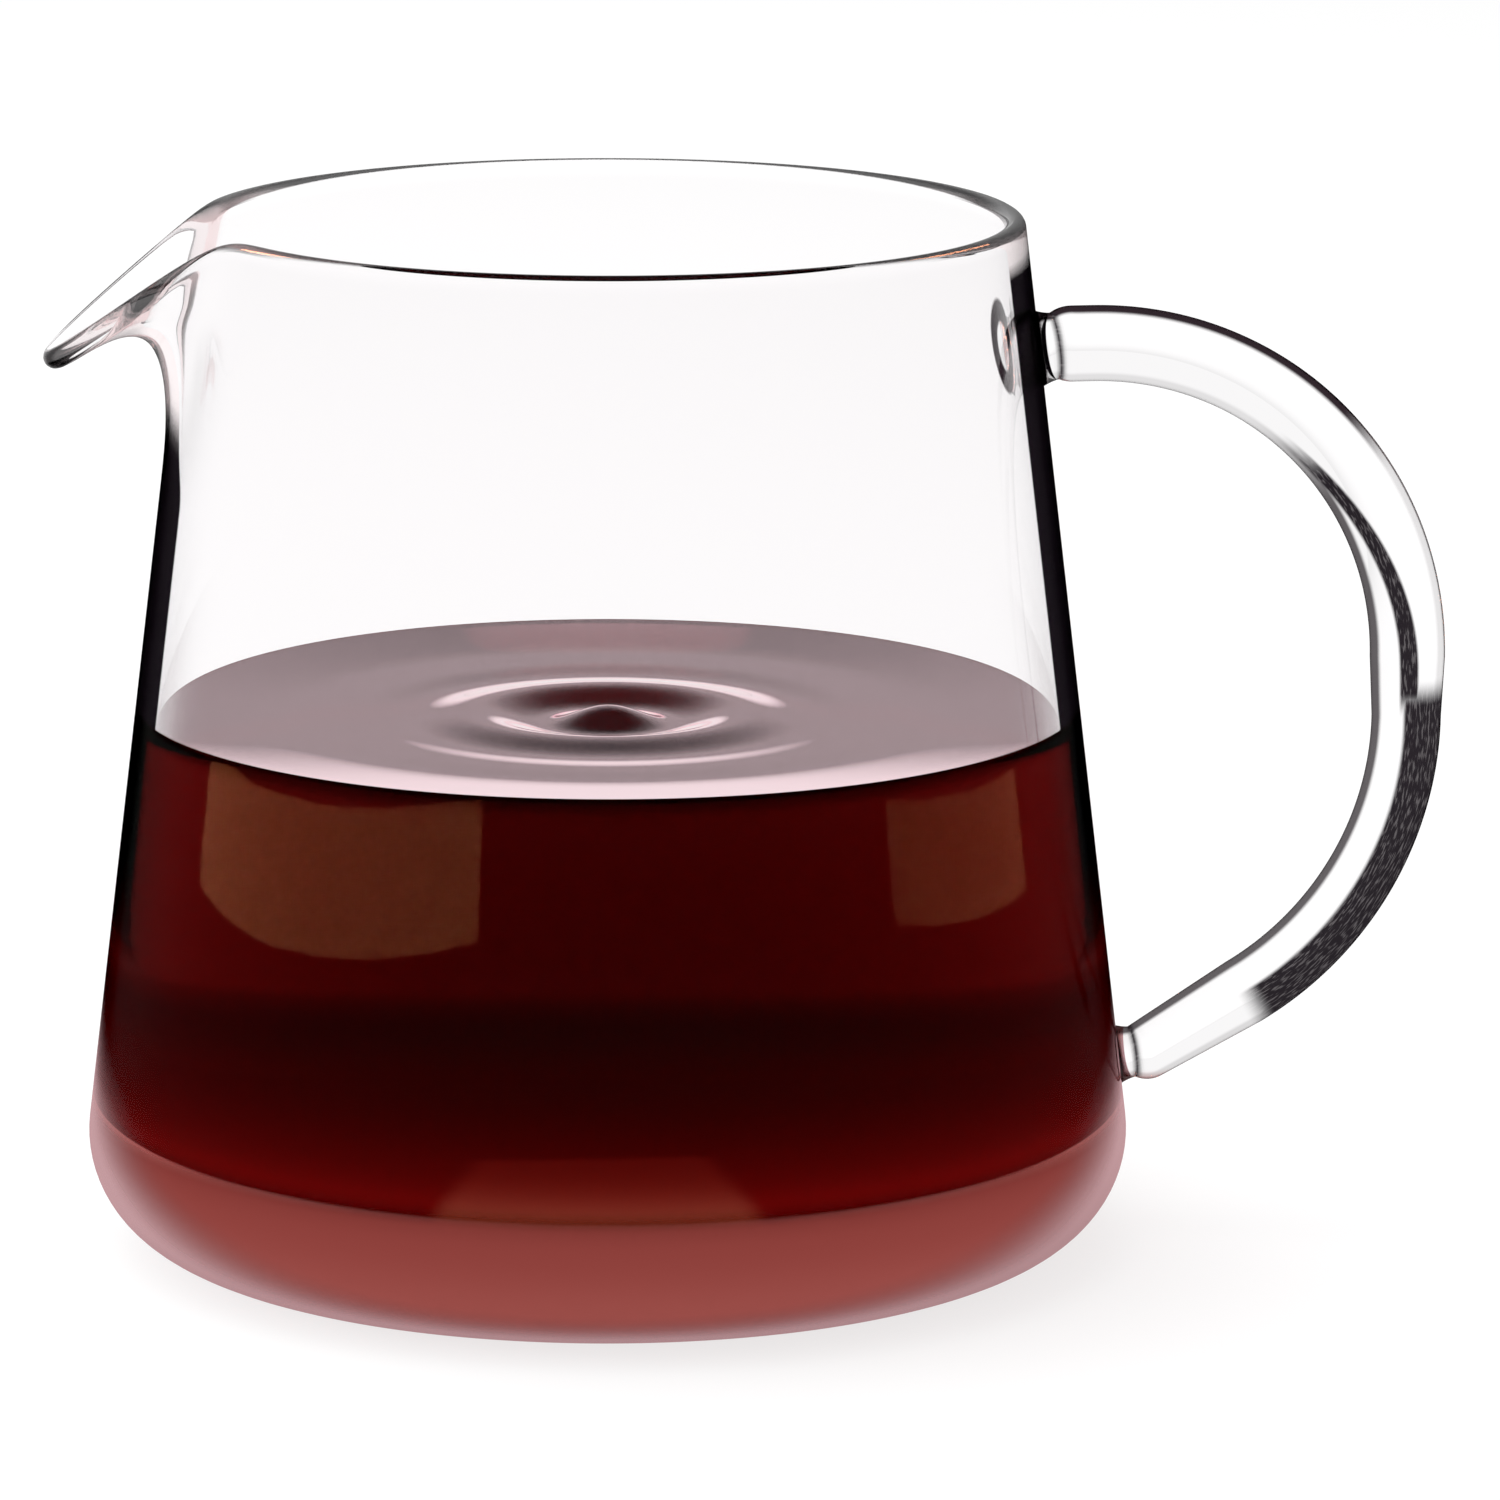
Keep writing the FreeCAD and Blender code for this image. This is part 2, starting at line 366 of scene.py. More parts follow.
@dataclass(frozen=True)
class ClearGlass:
    """Clear heat-proof glass.

    Light that is trapped in the wall is painted dark, as if it had come from a dark side of the
    studio. The thick foot is painted a soft brick red for light that has come through the tea and
    scatters in it, and that light leaves the foot through its underside, painted red as well. Slender
    forms, such as the rim and the rod, get a painted dark outline of shade, and the rod has a painted
    dark streak of shade along its lower bend. The changes called along count the length from the
    rod's top end.
    """

    wet_height: float
    pads: tuple[tuple[float, float], ...]
    ior: float = 1.473
    tint: Colour = (0.972, 0.967, 0.969, 1.0)
    # Painted dark reflection: the outside mirrors only a dim shine, and black on slender forms and where the
    # glass is seen near edge-on.
    shine: Colour = (0.03, 0.03, 0.03, 1.0)
    painted_dark_reflection: Colour = (0.0, 0.0, 0.0, 1.0)
    painted_dark_reflection_from: Change = Change(0.15, 0.4)
    pale: Colour = (0.97, 0.965, 0.97, 1.0)
    shadow: Colour = (0.86, 0.85, 0.86, 1.0)
    kept: Change = Change(0.08, 0.3)
    near_total: Change = Change(0.6, 0.999)
    wholly: float = 0.999
    # Painted shade: light trapped in the wall is made nearly black.
    painted_dark_in_wall: Colour = (0.008, 0.005, 0.008, 1.0)
    wall: Change = Change(16 * MM, 27 * MM)
    # Painted pink light from the tea, in light trapped under the tea line.
    trapped_under_tea: Colour = (0.9, 0.75, 0.75, 1.0)
    leak: float = 0.12
    # Painted pale pink light from the tea, in light trapped in the foot and in lit places.
    trapped_in_foot: Colour = (0.97, 0.90, 0.90, 1.0)
    foot: Change = Change(14 * MM, 16 * MM, 1.0, 0.0)
    # Painted red light: the foot's brick red stands for light that came through the tea.
    painted_foot_tea_light: Colour = (0.60, 0.31, 0.29, 1.0)
    foot_roughness: float = 0.5
    # Painted red light: what leaves through the underside is tinted like the table lit through the tea.
    underside: Colour = (0.55, 0.20, 0.183, 1.0)
    # Painted pale red sheen low on the outside, where the glass is turned away.
    painted_sheen_colour: Colour = (0.55, 0.35, 0.37, 1.0)
    painted_sheen_strength: float = 0.85
    painted_sheen_start: Change = Change(8 * MM, 31 * MM, 0.3, 0.95)
    painted_sheen: Change = Change(0.0, 0.5)
    # Painted shade and light on the cavity's floor: dark red low down, and a lighter painted patch at its
    # front.
    painted_floor_shade: Colour = (0.42, 0.02, 0.02, 1.0)
    painted_floor_light: Colour = (0.66, 0.52, 0.34, 1.0)
    floor: Change = Change(13 * MM, 16 * MM, 1.0, 0.0)
    patch_lean: float = 0.13
    patch_shift: float = 1.5 * MM
    patch_half: float = 7.3 * MM
    patch_flare: float = 0.19
    patch_edge: Change = Change(-1.5 * MM, 1.5 * MM, 1.0, 0.0)
    patch_front: Change = Change(-14 * MM, -10 * MM, 1.0, 0.0)
    # Painted dark rings of shade where the pads show through the inner wall.
    pad_inset: float = 0.2 * MM
    pad_line: Change = Change(0.9 * MM, 1.5 * MM, 1.0, 0.0)
    pad_side_on: Change = Change(0.75, 0.9, 1.0, 0.0)
    water_line: Colour = (0.35, 0.10, 0.10, 1.0)
    under_line: Change = Change(-2.2 * MM, -0.2 * MM)
    # Painted dark outline of shade along slender forms, also used for the pads' painted rings: its colour,
    # where it starts by how far the surface is turned away, and how it comes and goes along the rod.
    outline: Colour = (0.03, 0.02, 0.025, 1.0)
    painted_outline_edge: Change = Change(0.33, 0.48)
    outer_half: Change = Change(-0.1, 0.1)
    outer_along: Change = Change(28 * MM, 36 * MM, 1.0, 0.25)
    inner_along: Change = Change(20 * MM, 36 * MM, 0.2, 0.9)
    bolder_side: Change = Change(-0.3, 0.0, 1.0, 0.0)
    bolder_along: Change = Change(40 * MM, 56 * MM, 0.0, 0.05)
    # Painted dark streak and line of shade along the rod, with a paler noise grain in the streak: its
    # colours and where the streak and line lie.
    painted_streak_shade: Colour = (0.022, 0.018, 0.022, 1.0)
    pale_painted_streak_shade: Colour = (0.12, 0.11, 0.115, 1.0)
    painted_streak_shade_grain: Change = Change(0.5, 0.68)
    grain_along: float = 160.0
    grain_across: float = 4.0
    streak_side: Change = Change(-0.35, -0.22)
    streak_start: Change = Change(56.5 * MM, 59.5 * MM)
    streak_end: Change = Change(94.5 * MM, 97.5 * MM, 1.0, 0.0)
    line_side: Change = Change(26 * MM, 58 * MM, -0.78, -0.15)
    line_width: Change = Change(26 * MM, 58 * MM, 0.09, 0.20)
    line_edge: Change = Change(0.0, 0.09, 1.0, 0.0)
    line_start: Change = Change(24 * MM, 32 * MM)
    line_end: Change = Change(58 * MM, 61 * MM, 1.0, 0.0)

    def make(self) -> bpy.types.Material:
        """Build the material."""
        material, graph, output = blank_material("clear_glass")
        surface = GlassGraph(graph.tree, self).surface()
        graph.feed(output.inputs["Surface"], graph.with_clear_shadow(surface, self.shadow))
        return material


@dataclass
class GlassGraph(Graph):
    """The nodes of clear glass, and the sockets that say where on the jug a ray has met it."""

    look: ClearGlass
    x: Socket = field(init=False)
    y: Socket = field(init=False)
    height: Socket = field(init=False)
    behind: Socket = field(init=False)
    inner: Socket = field(init=False)
    slender: Socket = field(init=False)
    side: Socket = field(init=False)
    along: Socket = field(init=False)
    wet: Socket = field(init=False)
    foot: Socket = field(init=False)
    gloss: Socket = field(init=False)

    def __post_init__(self) -> None:
        """Find out where a ray has met the glass."""
        look = self.look
        axes = self.add("ShaderNodeSeparateXYZ")
        self.feed(axes.inputs[0], self.add("ShaderNodeTexCoord").outputs["Object"])
        self.x, self.y, self.height = axes.outputs
        self.behind = self.add("ShaderNodeNewGeometry").outputs["Backfacing"]
        marks = (Mark.CAVITY, Mark.SLENDER, Mark.SIDE, Mark.LENGTH)
        self.inner, self.slender, self.side, self.along = (self.mark(mark) for mark in marks)
        inside = self.math("GREATER_THAN", self.inner, 0.5)
        self.wet = self.product(inside, self.math("LESS_THAN", self.height, look.wet_height))
        self.foot = self.product(self.changed(self.height, look.foot), self.rest(inside))
        self.gloss = self.fresnel(look.ior)

    def painted_patch_of_floor_light(self) -> Socket:
        """Find the painted lighter patch of light in the front of the cavity's floor, which widens towards
        the front.

        Returns:
            Its share.
        """
        look = self.look
        middle = self.math("SUBTRACT", self.product(self.y, look.patch_lean), look.patch_shift)
        half = self.math("SUBTRACT", look.patch_half, self.product(self.y, look.patch_flare))
        beyond = self.math("SUBTRACT", self.distance(self.x, middle), half)
        return self.product(self.changed(beyond, look.patch_edge), self.changed(self.y, look.patch_front))

    def pad_rings(self) -> Socket:
        """Find the painted dark rings of shade that the handle's pads show on the inner wall, as seen from
        inside.

        Returns:
            Its share.
        """
        look = self.look
        rings = []
        for pad_height, pad_radius in look.pads:
            up = self.math("POWER", self.math("SUBTRACT", self.height, pad_height), 2.0)
            away = self.math("SQRT", self.math("ADD", self.math("POWER", self.y, 2.0), up))
            rings.append(self.changed(self.distance(away, pad_radius - look.pad_inset), look.pad_line))
        at_handle = self.math("GREATER_THAN", self.x, 0.0)
        return self.product(self.largest(*rings), self.rest(self.behind), at_handle, self.inner)

    def painted_sheen(self) -> Socket:
        """Find the painted pale red sheen low on the outside, where the glass is turned away.

        Returns:
            Its share.
        """
        look = self.look
        start = self.changed(self.height, look.painted_sheen_start)
        painted_sheen = self.changed(self.math("SUBTRACT", self.turned_away(), start), look.painted_sheen)
        return self.product(painted_sheen, self.rest(self.largest(self.inner, self.slender)))

    def mirror(self) -> Socket:
        """Make what the glass throws back: the room outside, with painted dark reflections and a painted
        pale red sheen, and trapped light inside, painted dark in the wall and pink in the foot and under the
        tea.

        Returns:
            The shader.
        """
        look = self.look
        lit = self.mark(Mark.LIT)
        # Trapped light is painted dark in the wall, and painted pink in the foot, in lit places and under
        # the tea.
        in_wall = self.product(self.changed(self.height, look.wall), self.rest(lit))
        trapped = self.blend_colours(in_wall, look.trapped_in_foot, look.painted_dark_in_wall)
        trapped = self.blend_colours(self.wet, trapped, look.trapped_under_tea)
        inside = self.blend_colours(self.changed(self.gloss, look.near_total), look.pale, trapped)
        # Painted dark reflection: black on slender forms and near edge-on, a dim shine elsewhere.
        painted_dark_reflection = self.largest(self.slender, self.changed(self.gloss, look.painted_dark_reflection_from))
        outer = self.blend_colours(painted_dark_reflection, look.shine, look.painted_dark_reflection)
        outer = self.blend_colours(self.painted_sheen(), outer, look.painted_sheen_colour)
        outside = self.blend_colours(self.inner, outer, look.pale)
        colour = self.blend_colours(self.behind, outside, inside)
        glossy = self.coloured("ShaderNodeBsdfGlossy", colour, Roughness=0.0)
        # Light leaving through the foot's underside is painted red, for the table lit through the tea.
        exit_colour = self.blend_colours(self.foot, look.pale, look.underside)
        leaving = self.coloured("ShaderNodeBsdfTransparent", exit_colour)
        leak = self.product(lit, look.leak)
        leaves = self.product(self.behind, self.largest(self.foot, leak))
        return self.blend_shaders(leaves, glossy, leaving)

    def painted_rod_shade(self) -> Socket:
        """Find the painted shade on the rod: the streak along its lower bend, the line into it, and the
        pads.

        Returns:
            Its share.
        """
        look = self.look
        ends = (self.changed(self.along, look.streak_start), self.changed(self.along, look.streak_end))
        streak = self.product(*ends, self.changed(self.side, look.streak_side))
        away = self.distance(self.side, self.changed(self.along, look.line_side))
        beyond = self.math("SUBTRACT", away, self.changed(self.along, look.line_width))
        ends = (self.changed(self.along, look.line_start), self.changed(self.along, look.line_end))
        line = self.product(self.changed(beyond, look.line_edge), *ends)
        pad = self.product(self.mark(Mark.PAD_SHADE), self.changed(self.turned_away(), look.pad_side_on))
        return self.largest(streak, line, pad)

    def painted_outlines(self) -> Socket:
        """Find the painted dark outlines of shade along the edges of slender forms, which come and go along
        the rod.

        Returns:
            Its share.
        """
        look = self.look
        inner_half = self.changed(self.side, look.bolder_side)
        bolder = self.product(self.changed(self.along, look.bolder_along), inner_half)
        turned_away = self.math("ADD", self.product(self.turned_away(), self.slender), bolder)
        inner, outer = self.changed(self.along, look.inner_along), self.changed(self.along, look.outer_along)
        weight = self.blend_numbers(self.changed(self.side, look.outer_half), inner, outer)
        return self.product(self.changed(turned_away, look.painted_outline_edge), weight)

    def grained_painted_streak_shade(self) -> Socket:
        """Make the colour of the rod's painted streak of shade, dark with a paler grain along it.

        Returns:
            The colour.
        """
        look = self.look
        grain = self.add("ShaderNodeCombineXYZ")
        lengthwise = self.product(self.along, look.grain_along)
        self.feed_all(grain.inputs, (lengthwise, self.product(self.side, look.grain_across)))
        noise = self.add("ShaderNodeTexNoise")
        noise.inputs["Detail"].default_value = 1.0
        self.feed(noise.inputs["Vector"], grain.outputs[0])
        pale = self.changed(noise.outputs["Fac"], look.painted_streak_shade_grain)
        return self.blend_colours(pale, look.painted_streak_shade, look.pale_painted_streak_shade)

    def through(self, pad_rings: Socket) -> Socket:
        """Make what the glass lets through, with its painted light and shade.

        Args:
            pad_rings: Share of the painted dark rings that the handle's pads show.

        Returns:
            The shader.
        """
        look = self.look
        in_front = self.rest(self.behind)
        # The cavity floor's colour is painted shade, with a painted patch of light at its front.
        painted_floor_tone = self.blend_colours(self.painted_patch_of_floor_light(), look.painted_floor_shade, look.painted_floor_light)
        over_water = self.math("SUBTRACT", self.height, look.wet_height)
        # The foot's brick red is painted light from the tea, over the glass's own tint.
        colour = self.blend_colours(self.foot, look.tint, look.painted_foot_tea_light)
        # Over this lie the cavity floor's painted light and shade, the dark line under the tea, the painted
        # dark rings and outlines, and the rod's painted streak of shade.
        for share, over in (
            (self.product(self.changed(self.height, look.floor), self.inner), painted_floor_tone),
            (self.product(self.wet, self.changed(over_water, look.under_line)), look.water_line),
            (pad_rings, look.outline),
            (self.painted_outlines(), look.outline),
            (self.product(self.painted_rod_shade(), in_front), self.grained_painted_streak_shade()),
        ):
            colour = self.blend_colours(share, colour, over)
        roughness = self.product(self.foot, in_front, look.foot_roughness)
        return self.coloured("ShaderNodeBsdfRefraction", colour, IOR=look.ior, Roughness=roughness)

    def surface(self) -> Socket:
        """Make the whole surface. Glass that is dry or slender only mirrors at low angles.

        Returns:
            The shader.
        """
        look = self.look
        hidden = self.largest(self.behind, self.inner, self.slender)
        over_tea = self.product(self.math("LESS_THAN", self.height, look.wet_height), self.rest(hidden))
        kept = self.largest(over_tea, self.changed(self.gloss, look.kept))
        wholly = self.math("GREATER_THAN", self.gloss, look.wholly)
        share = self.blend_numbers(self.wet, self.product(self.gloss, kept), wholly)
        # The painted sheen also raises the share of what is thrown back.
        painted_sheen = self.product(self.painted_sheen(), self.rest(self.behind), look.painted_sheen_strength)
        pad_rings = self.pad_rings()
        thrown_back = self.product(self.largest(share, painted_sheen), self.rest(pad_rings))
        return self.blend_shaders(thrown_back, self.through(pad_rings), self.mirror())


@dataclass(frozen=True)
class DarkTea:
    """Dark red tea: a mirror-smooth surface over a liquid that lets only deep red through.

    Where it wets the glass nothing is thrown back. Its gloss follows the share of light that a
    smooth surface throws back, with painted colour in it: seen square on, a dim pink, gentle slopes
    a pink, and slopes that face away white.
    """

    ior: float = 1.333
    clear: Colour = (1.0, 1.0, 1.0, 1.0)
    from_above: Colour = (0.2, 0.12, 0.13, 1.0)
    # Painted reflection: seen square on the tea mirrors a dim pink, and gentle slopes a pink, in place of
    # the white room.
    painted_dim_reflection: Colour = (0.5, 0.35, 0.4, 1.0)
    shine: Colour = (1.0, 0.78, 0.82, 1.0)
    shine_from: Change = Change(0.05, 0.15)
    glare: Colour = (1.0, 0.97, 0.97, 1.0)
    glare_from: Change = Change(0.35, 0.7)
    gentle: Change = Change(0.06, 0.29, 0.02, 0.38)
    steep: Change = Change(0.29, 0.44)
    body: Colour = (0.68, 0.04, 0.05, 1.0)
    strength: float = 110.0
    shadow: Colour = (0.9, 0.8, 0.8, 1.0)

    def make(self) -> bpy.types.Material:
        """Build the material."""
        material, graph, output = blank_material("tea")
        free, fresnel = graph.mark(Mark.FREE), graph.fresnel(self.ior)
        colour = graph.blend_colours(free, self.clear, self.from_above)
        through = graph.coloured("ShaderNodeBsdfRefraction", colour, IOR=self.ior, Roughness=0.0)
        shine = graph.blend_colours(graph.changed(fresnel, self.shine_from), self.painted_dim_reflection, self.shine)
        shine = graph.blend_colours(graph.changed(fresnel, self.glare_from), shine, self.glare)
        mirror = graph.coloured("ShaderNodeBsdfGlossy", shine, Roughness=0.0)
        gloss = graph.largest(graph.changed(fresnel, self.gentle), graph.changed(fresnel, self.steep))
        liquid = graph.blend_shaders(graph.product(gloss, free), through, mirror)
        graph.feed(output.inputs["Surface"], graph.with_clear_shadow(liquid, self.shadow))
        volume = graph.coloured("ShaderNodeVolumeAbsorption", self.body, Density=self.strength)
        graph.feed(output.inputs["Volume"], volume)
        return material


@dataclass(frozen=True)
class PaleTable:
    """A white table that keeps the jug's shadow and stays white where it is seen or reflected."""

    albedo: Colour = (0.24, 0.24, 0.24, 1.0)
    glow: Colour = (1.0, 1.0, 1.0, 1.0)
    glow_strength: float = 0.77
    bounce: Colour = (0.8, 0.8, 0.8, 1.0)

    def make(self) -> bpy.types.Material:
        """Build the material."""
        material, graph, output = blank_material("pale_table")
        lit = graph.coloured("ShaderNodeBsdfDiffuse", self.albedo)
        glow = graph.coloured("ShaderNodeEmission", self.glow, Strength=self.glow_strength)
        seen = graph.add("ShaderNodeAddShader")
        graph.feed_all(seen.inputs, (lit, glow))
        plain = graph.coloured("ShaderNodeBsdfDiffuse", self.bounce)
        graph.feed(output.inputs["Surface"], graph.blend_shaders(graph.seen(), plain, seen.outputs[0]))
        return material


# The pieces


@dataclass
class Bowl:
    """The body's two walls, which taper alike: the outside from the table, the inside from the floor."""

    rim_height: float
    mouth_radius: float = 42.2 * MM
    foot_radius: float = 55 * MM
    wall: float = 2.2 * MM
    floor_height: float = 12 * MM
    foot_corner: float = 11.5 * MM
    cavity_corner: float = 6 * MM
    outside_points: tuple[int, int, int] = (10, 22, 26)
    cavity_points: tuple[int, int, int] = (10, 14, 24)

    @property
    def slant(self) -> float:
        """Taper of the wall per length of height."""
        return (self.foot_radius - self.mouth_radius) / self.rim_height

    @property
    def taper(self) -> float:
        """Angle of the wall from upright, in radians."""
        return math.atan(self.slant)

    def outer(self, height: np.ndarray) -> np.ndarray:
        """Return the outside radius at a height."""
        return self.foot_radius - height * self.slant

    def inner(self, height: np.ndarray) -> np.ndarray:
        """Return the inside radius at a height."""
        return self.outer(height) - self.wall / math.cos(self.taper)

    def middle(self, height: np.ndarray) -> np.ndarray:
        """Return the radius midway through the wall at a height."""
        return (self.outer(height) + self.inner(height)) / 2

    def side(self, inside: bool, top: float) -> np.ndarray:
        """Profile of a wall from the axis along its floor, round its corner and up its side.

        Args:
            inside: True for the cavity, False for the outside.
            top: Height at which the side ends.

        Returns:
            Rows of radius and height. The axis itself is left out.
        """
        floor_points, corner_points, side_points = self.cavity_points if inside else self.outside_points
        wall = self.inner if inside else self.outer
        corner = self.cavity_corner if inside else self.foot_corner
        floor = self.floor_height if inside else 0.0
        centre = (float(wall(floor + corner)) - corner / math.cos(self.taper), floor + corner)
        arc = arc_profile(centre, corner, -90.0, math.degrees(self.taper), corner_points)
        flat = line_profile((centre[0] / floor_points, floor), (centre[0], floor), floor_points)[:-1]
        side = line_profile(arc[-1], (float(wall(top)), top), side_points)[1:]
        return np.concatenate([flat, arc, side])


@dataclass
class Beak:
    """The beak drawn out of the rim opposite the handle.

    The wall near it is a set of upright cubic curves. They leave the wall along its taper and
    bend outwards and then down as the beak's share grows from 0 at its sides to 1 in its middle.
    """

    bowl: Bowl
    reach: float = 15 * MM
    droop: float = 12.4 * MM
    half_angle: float = math.radians(40.0)
    sharpness: int = 12
    root_height: float = 78 * MM
    throat_height: float = 96 * MM
    lip_length: float = 12 * MM
    lip_slope: float = math.radians(33.0)

    @property
    def bead(self) -> float:
        """Radius of the rounded lip."""
        return self.bowl.wall / 2

    def share(self, angle: np.ndarray) -> np.ndarray:
        """Return cos(a quarter turn * angle / half_angle) to a high power, 0 beyond the half angle."""
        across = np.clip(np.abs(angle) / self.half_angle, 0, 1)
        return np.cos(across * math.pi / 2) ** self.sharpness

    def middle(self, angle: np.ndarray, along: np.ndarray) -> np.ndarray:
        """Points midway through the wall.

        The formula is the cubic Bezier curve root, first, second, lip at along.

        Args:
            angle: Angle from the beak's middle in radians.
            along: 0 at the root and 1 at the lip.

        Returns:
            The points, with the arguments' common shape and 3 at the end.
        """
        angle, along = (grid[..., None] for grid in np.broadcast_arrays(angle, along))
        share = self.share(angle)
        turn = (math.pi + angle)[..., 0]
        top = self.bowl.rim_height - self.bead
        root = on_cylinder(self.bowl.middle(self.root_height), self.root_height, turn)
        plain_lip = on_cylinder(self.bowl.middle(top), top, turn)
        throat = on_cylinder(self.bowl.middle(self.throat_height), self.throat_height, turn)
        outwards = on_cylinder(1.0, 0.0, turn)
        upwards = np.array([0.0, 0.0, 1.0])
        lip = plain_lip + outwards * self.reach * share - upwards * self.droop * share
        lip_direction = outwards * math.cos(self.lip_slope) - upwards * math.sin(self.lip_slope)
        first = mixed(mixed(root, plain_lip, 1 / 3), throat, share)
        second = mixed(mixed(root, plain_lip, 2 / 3), lip - lip_direction * self.lip_length, share)
        back = 1 - along
        return (
            root * back**3 + first * 3 * back**2 * along + second * 3 * back * along**2 + lip * along**3
        )

    def directions(self, angle: np.ndarray, along: np.ndarray) -> tuple[np.ndarray, np.ndarray]:
        """Unit vectors out through the wall and on past the lip, from small steps both ways.

        Args:
            angle: Angle from the beak's middle in radians.
            along: 0 at the root and 1 at the lip.

        Returns:
            The outward and the onward vectors.
        """
        step = 1e-4
        across = self.middle(angle + step, along) - self.middle(angle - step, along)
        above, below = np.minimum(along + step, 1), np.maximum(along - step, 0)
        up = self.middle(angle, above) - self.middle(angle, below)
        outwards = unit(np.cross(across, up))
        return outwards, unit(np.cross(outwards, across))

    def rings(self, angle: np.ndarray, side_points: int, bead_points: int) -> np.ndarray:
        """Rings up the outside, over the rounded lip and down the inside, from root to root.

        Args:
            angle: Angles of the columns from the beak's middle.
            side_points: Rings on each side, without the one at the root.
            bead_points: Rings on the lip between the sides.

        Returns:
            Points with the shape rings, columns, 3.
        """
        along = np.linspace(0, 1, side_points + 1)[1:, None]
        angle = angle[None, :]
        middle = self.middle(angle, along)
        outwards, onwards = self.directions(angle, along)
        outer = middle + outwards * self.bead
        inner = middle - outwards * self.bead
        turn = np.linspace(0, math.pi, bead_points + 2)[1:-1, None, None]
        lip = middle[-1] + self.bead * (outwards[-1] * np.cos(turn) + onwards[-1] * np.sin(turn))
        return np.concatenate([outer, lip, inner[::-1]])


@dataclass
class RodHandle:
    """The solid glass rod, bent round and fused to the wall at two pads."""

    bowl: Bowl
    back: float
    top_height: float = 92 * MM
    leg_height: float = 17.4 * MM
    grip_length: float = 6.2 * MM
    leg_slope: float = math.radians(30.0)
    top_rod: float = 3.9 * MM
    back_rod: float = 3.6 * MM
    leg_rod: float = 3.1 * MM
    pad_flare: float = 0.8 * MM
    pad_thickness: float = 2.1 * MM
    pad_groove: float = 0.45 * MM
    pad_seat: float = 1 * MM
    # The groove width, near_wall and pad_reach shape the painted shade on the pads.
    groove_width: float = 0.35 * MM
    pad_shape: float = 1.6
    near_wall: Change = Change(0.6, 0.85)
    pad_reach: float = 2.5
    path_points: tuple[int, ...] = (6, 60, 10, 44, 16)
    pad_points: int = 12
    ball_points: int = 9
    around: int = 56

    @property
    def back_height(self) -> float:
        """Height midway between the rod's two ends."""
        return (self.top_height + self.leg_height) / 2

    @property
    def wall_normal(self) -> np.ndarray:
        """Direction straight out of the wall at the handle."""
        return np.array([math.cos(self.bowl.taper), 0.0, math.sin(self.bowl.taper)])

    def end_height(self, rod: float) -> float:
        """Return the distance from the wall to the middle of the rod's round end."""
        return self.pad_thickness + math.sqrt(rod**2 - (rod - self.pad_groove) ** 2)

    def end_place(self, height: float, rod: float) -> np.ndarray:
        """Return the middle of the rod's round end at a height."""
        radius = float(self.bowl.outer(height)) + self.end_height(rod) / math.cos(self.bowl.taper)
        return np.array([radius, 0.0, height])

    def path(self) -> tuple[np.ndarray, np.ndarray, np.ndarray]:
        """Centre line: a level top, a bend, a short grip, a bend of the same radius and a sloping leg.

        Returns:
            The points, their directions and the rod's radius at each.
        """
        start = self.end_place(self.top_height, self.top_rod)
        end = self.end_place(self.leg_height, self.leg_rod)
        sine, cosine = math.sin(self.leg_slope), math.cos(self.leg_slope)
        drop = self.top_height - self.grip_length - end[2]
        bend = (drop * cosine - (self.back - end[0]) * sine) / (1 + cosine - sine)
        centre = self.back - bend
        high, low = self.top_height - bend, self.top_height - bend - self.grip_length
        count = self.path_points
        upper = arc_profile((centre, high), bend, 90.0, 0.0, count[1])
        lower = arc_profile((centre, low), bend, 0.0, math.degrees(self.leg_slope) - 90, count[3])
        level = line_profile(start[[0, 2]], upper[0], count[0])
        grip = line_profile(upper[-1], lower[0], count[2])
        leg = line_profile(lower[-1], end[[0, 2]], count[4])
        stretches = (level, upper, grip, lower, leg)
        radii = (self.top_rod, self.top_rod, self.top_rod, self.back_rod, self.back_rod, self.leg_rod)
        rows = [
            np.column_stack([stretch, np.linspace(first, last, len(stretch))])
            for stretch, first, last in zip(stretches, radii[:-1], radii[1:])
        ]
        across, up, rod = np.concatenate([row[:-1] for row in rows] + [rows[-1][-1:]]).T
        points = np.stack([across, np.zeros(len(rod)), up], axis=-1)
        return points, unit(np.gradient(points, axis=0)), rod

    def pad_rings(self, rod_end: np.ndarray, towards: np.ndarray, rod: float) -> tuple[np.ndarray, ...]:
        """Rings of a pad, and of the rod's round end over it, from inside the wall to the rod.

        The pad's rings stand square to the wall's normal. Those of the round end lie on a ball
        about its middle and turn from the wall's normal to the rod's own direction.

        Args:
            rod_end: The middle of the round end.
            towards: Direction in which the rod leaves.
            rod: The rod's radius there.

        Returns:
            Centres, directions and radii of the rings.
        """
        normal = self.wall_normal
        foot, neck = rod + self.pad_flare, rod - self.pad_groove
        share = np.linspace(0, 1, self.pad_points)
        height = mixed(-self.pad_seat, self.pad_thickness, share)
        flare = neck + (foot - neck) * (1 - share) ** self.pad_shape
        pad_centres = rod_end + normal * (height - self.end_height(rod))[:, None]
        polar = np.linspace(math.asin(neck / rod), math.pi / 2, self.ball_points)[1:-1]
        turn = np.linspace(0, 1, self.ball_points)[1:-1, None]
        ball_directions = unit(mixed(normal, towards, turn))
        ball_centres = rod_end - ball_directions * (rod * np.cos(polar))[:, None]
        return (
            np.concatenate([pad_centres, ball_centres]),
            np.concatenate([np.tile(normal, (len(share), 1)), ball_directions]),
            np.concatenate([flare, rod * np.sin(polar)]),
        )

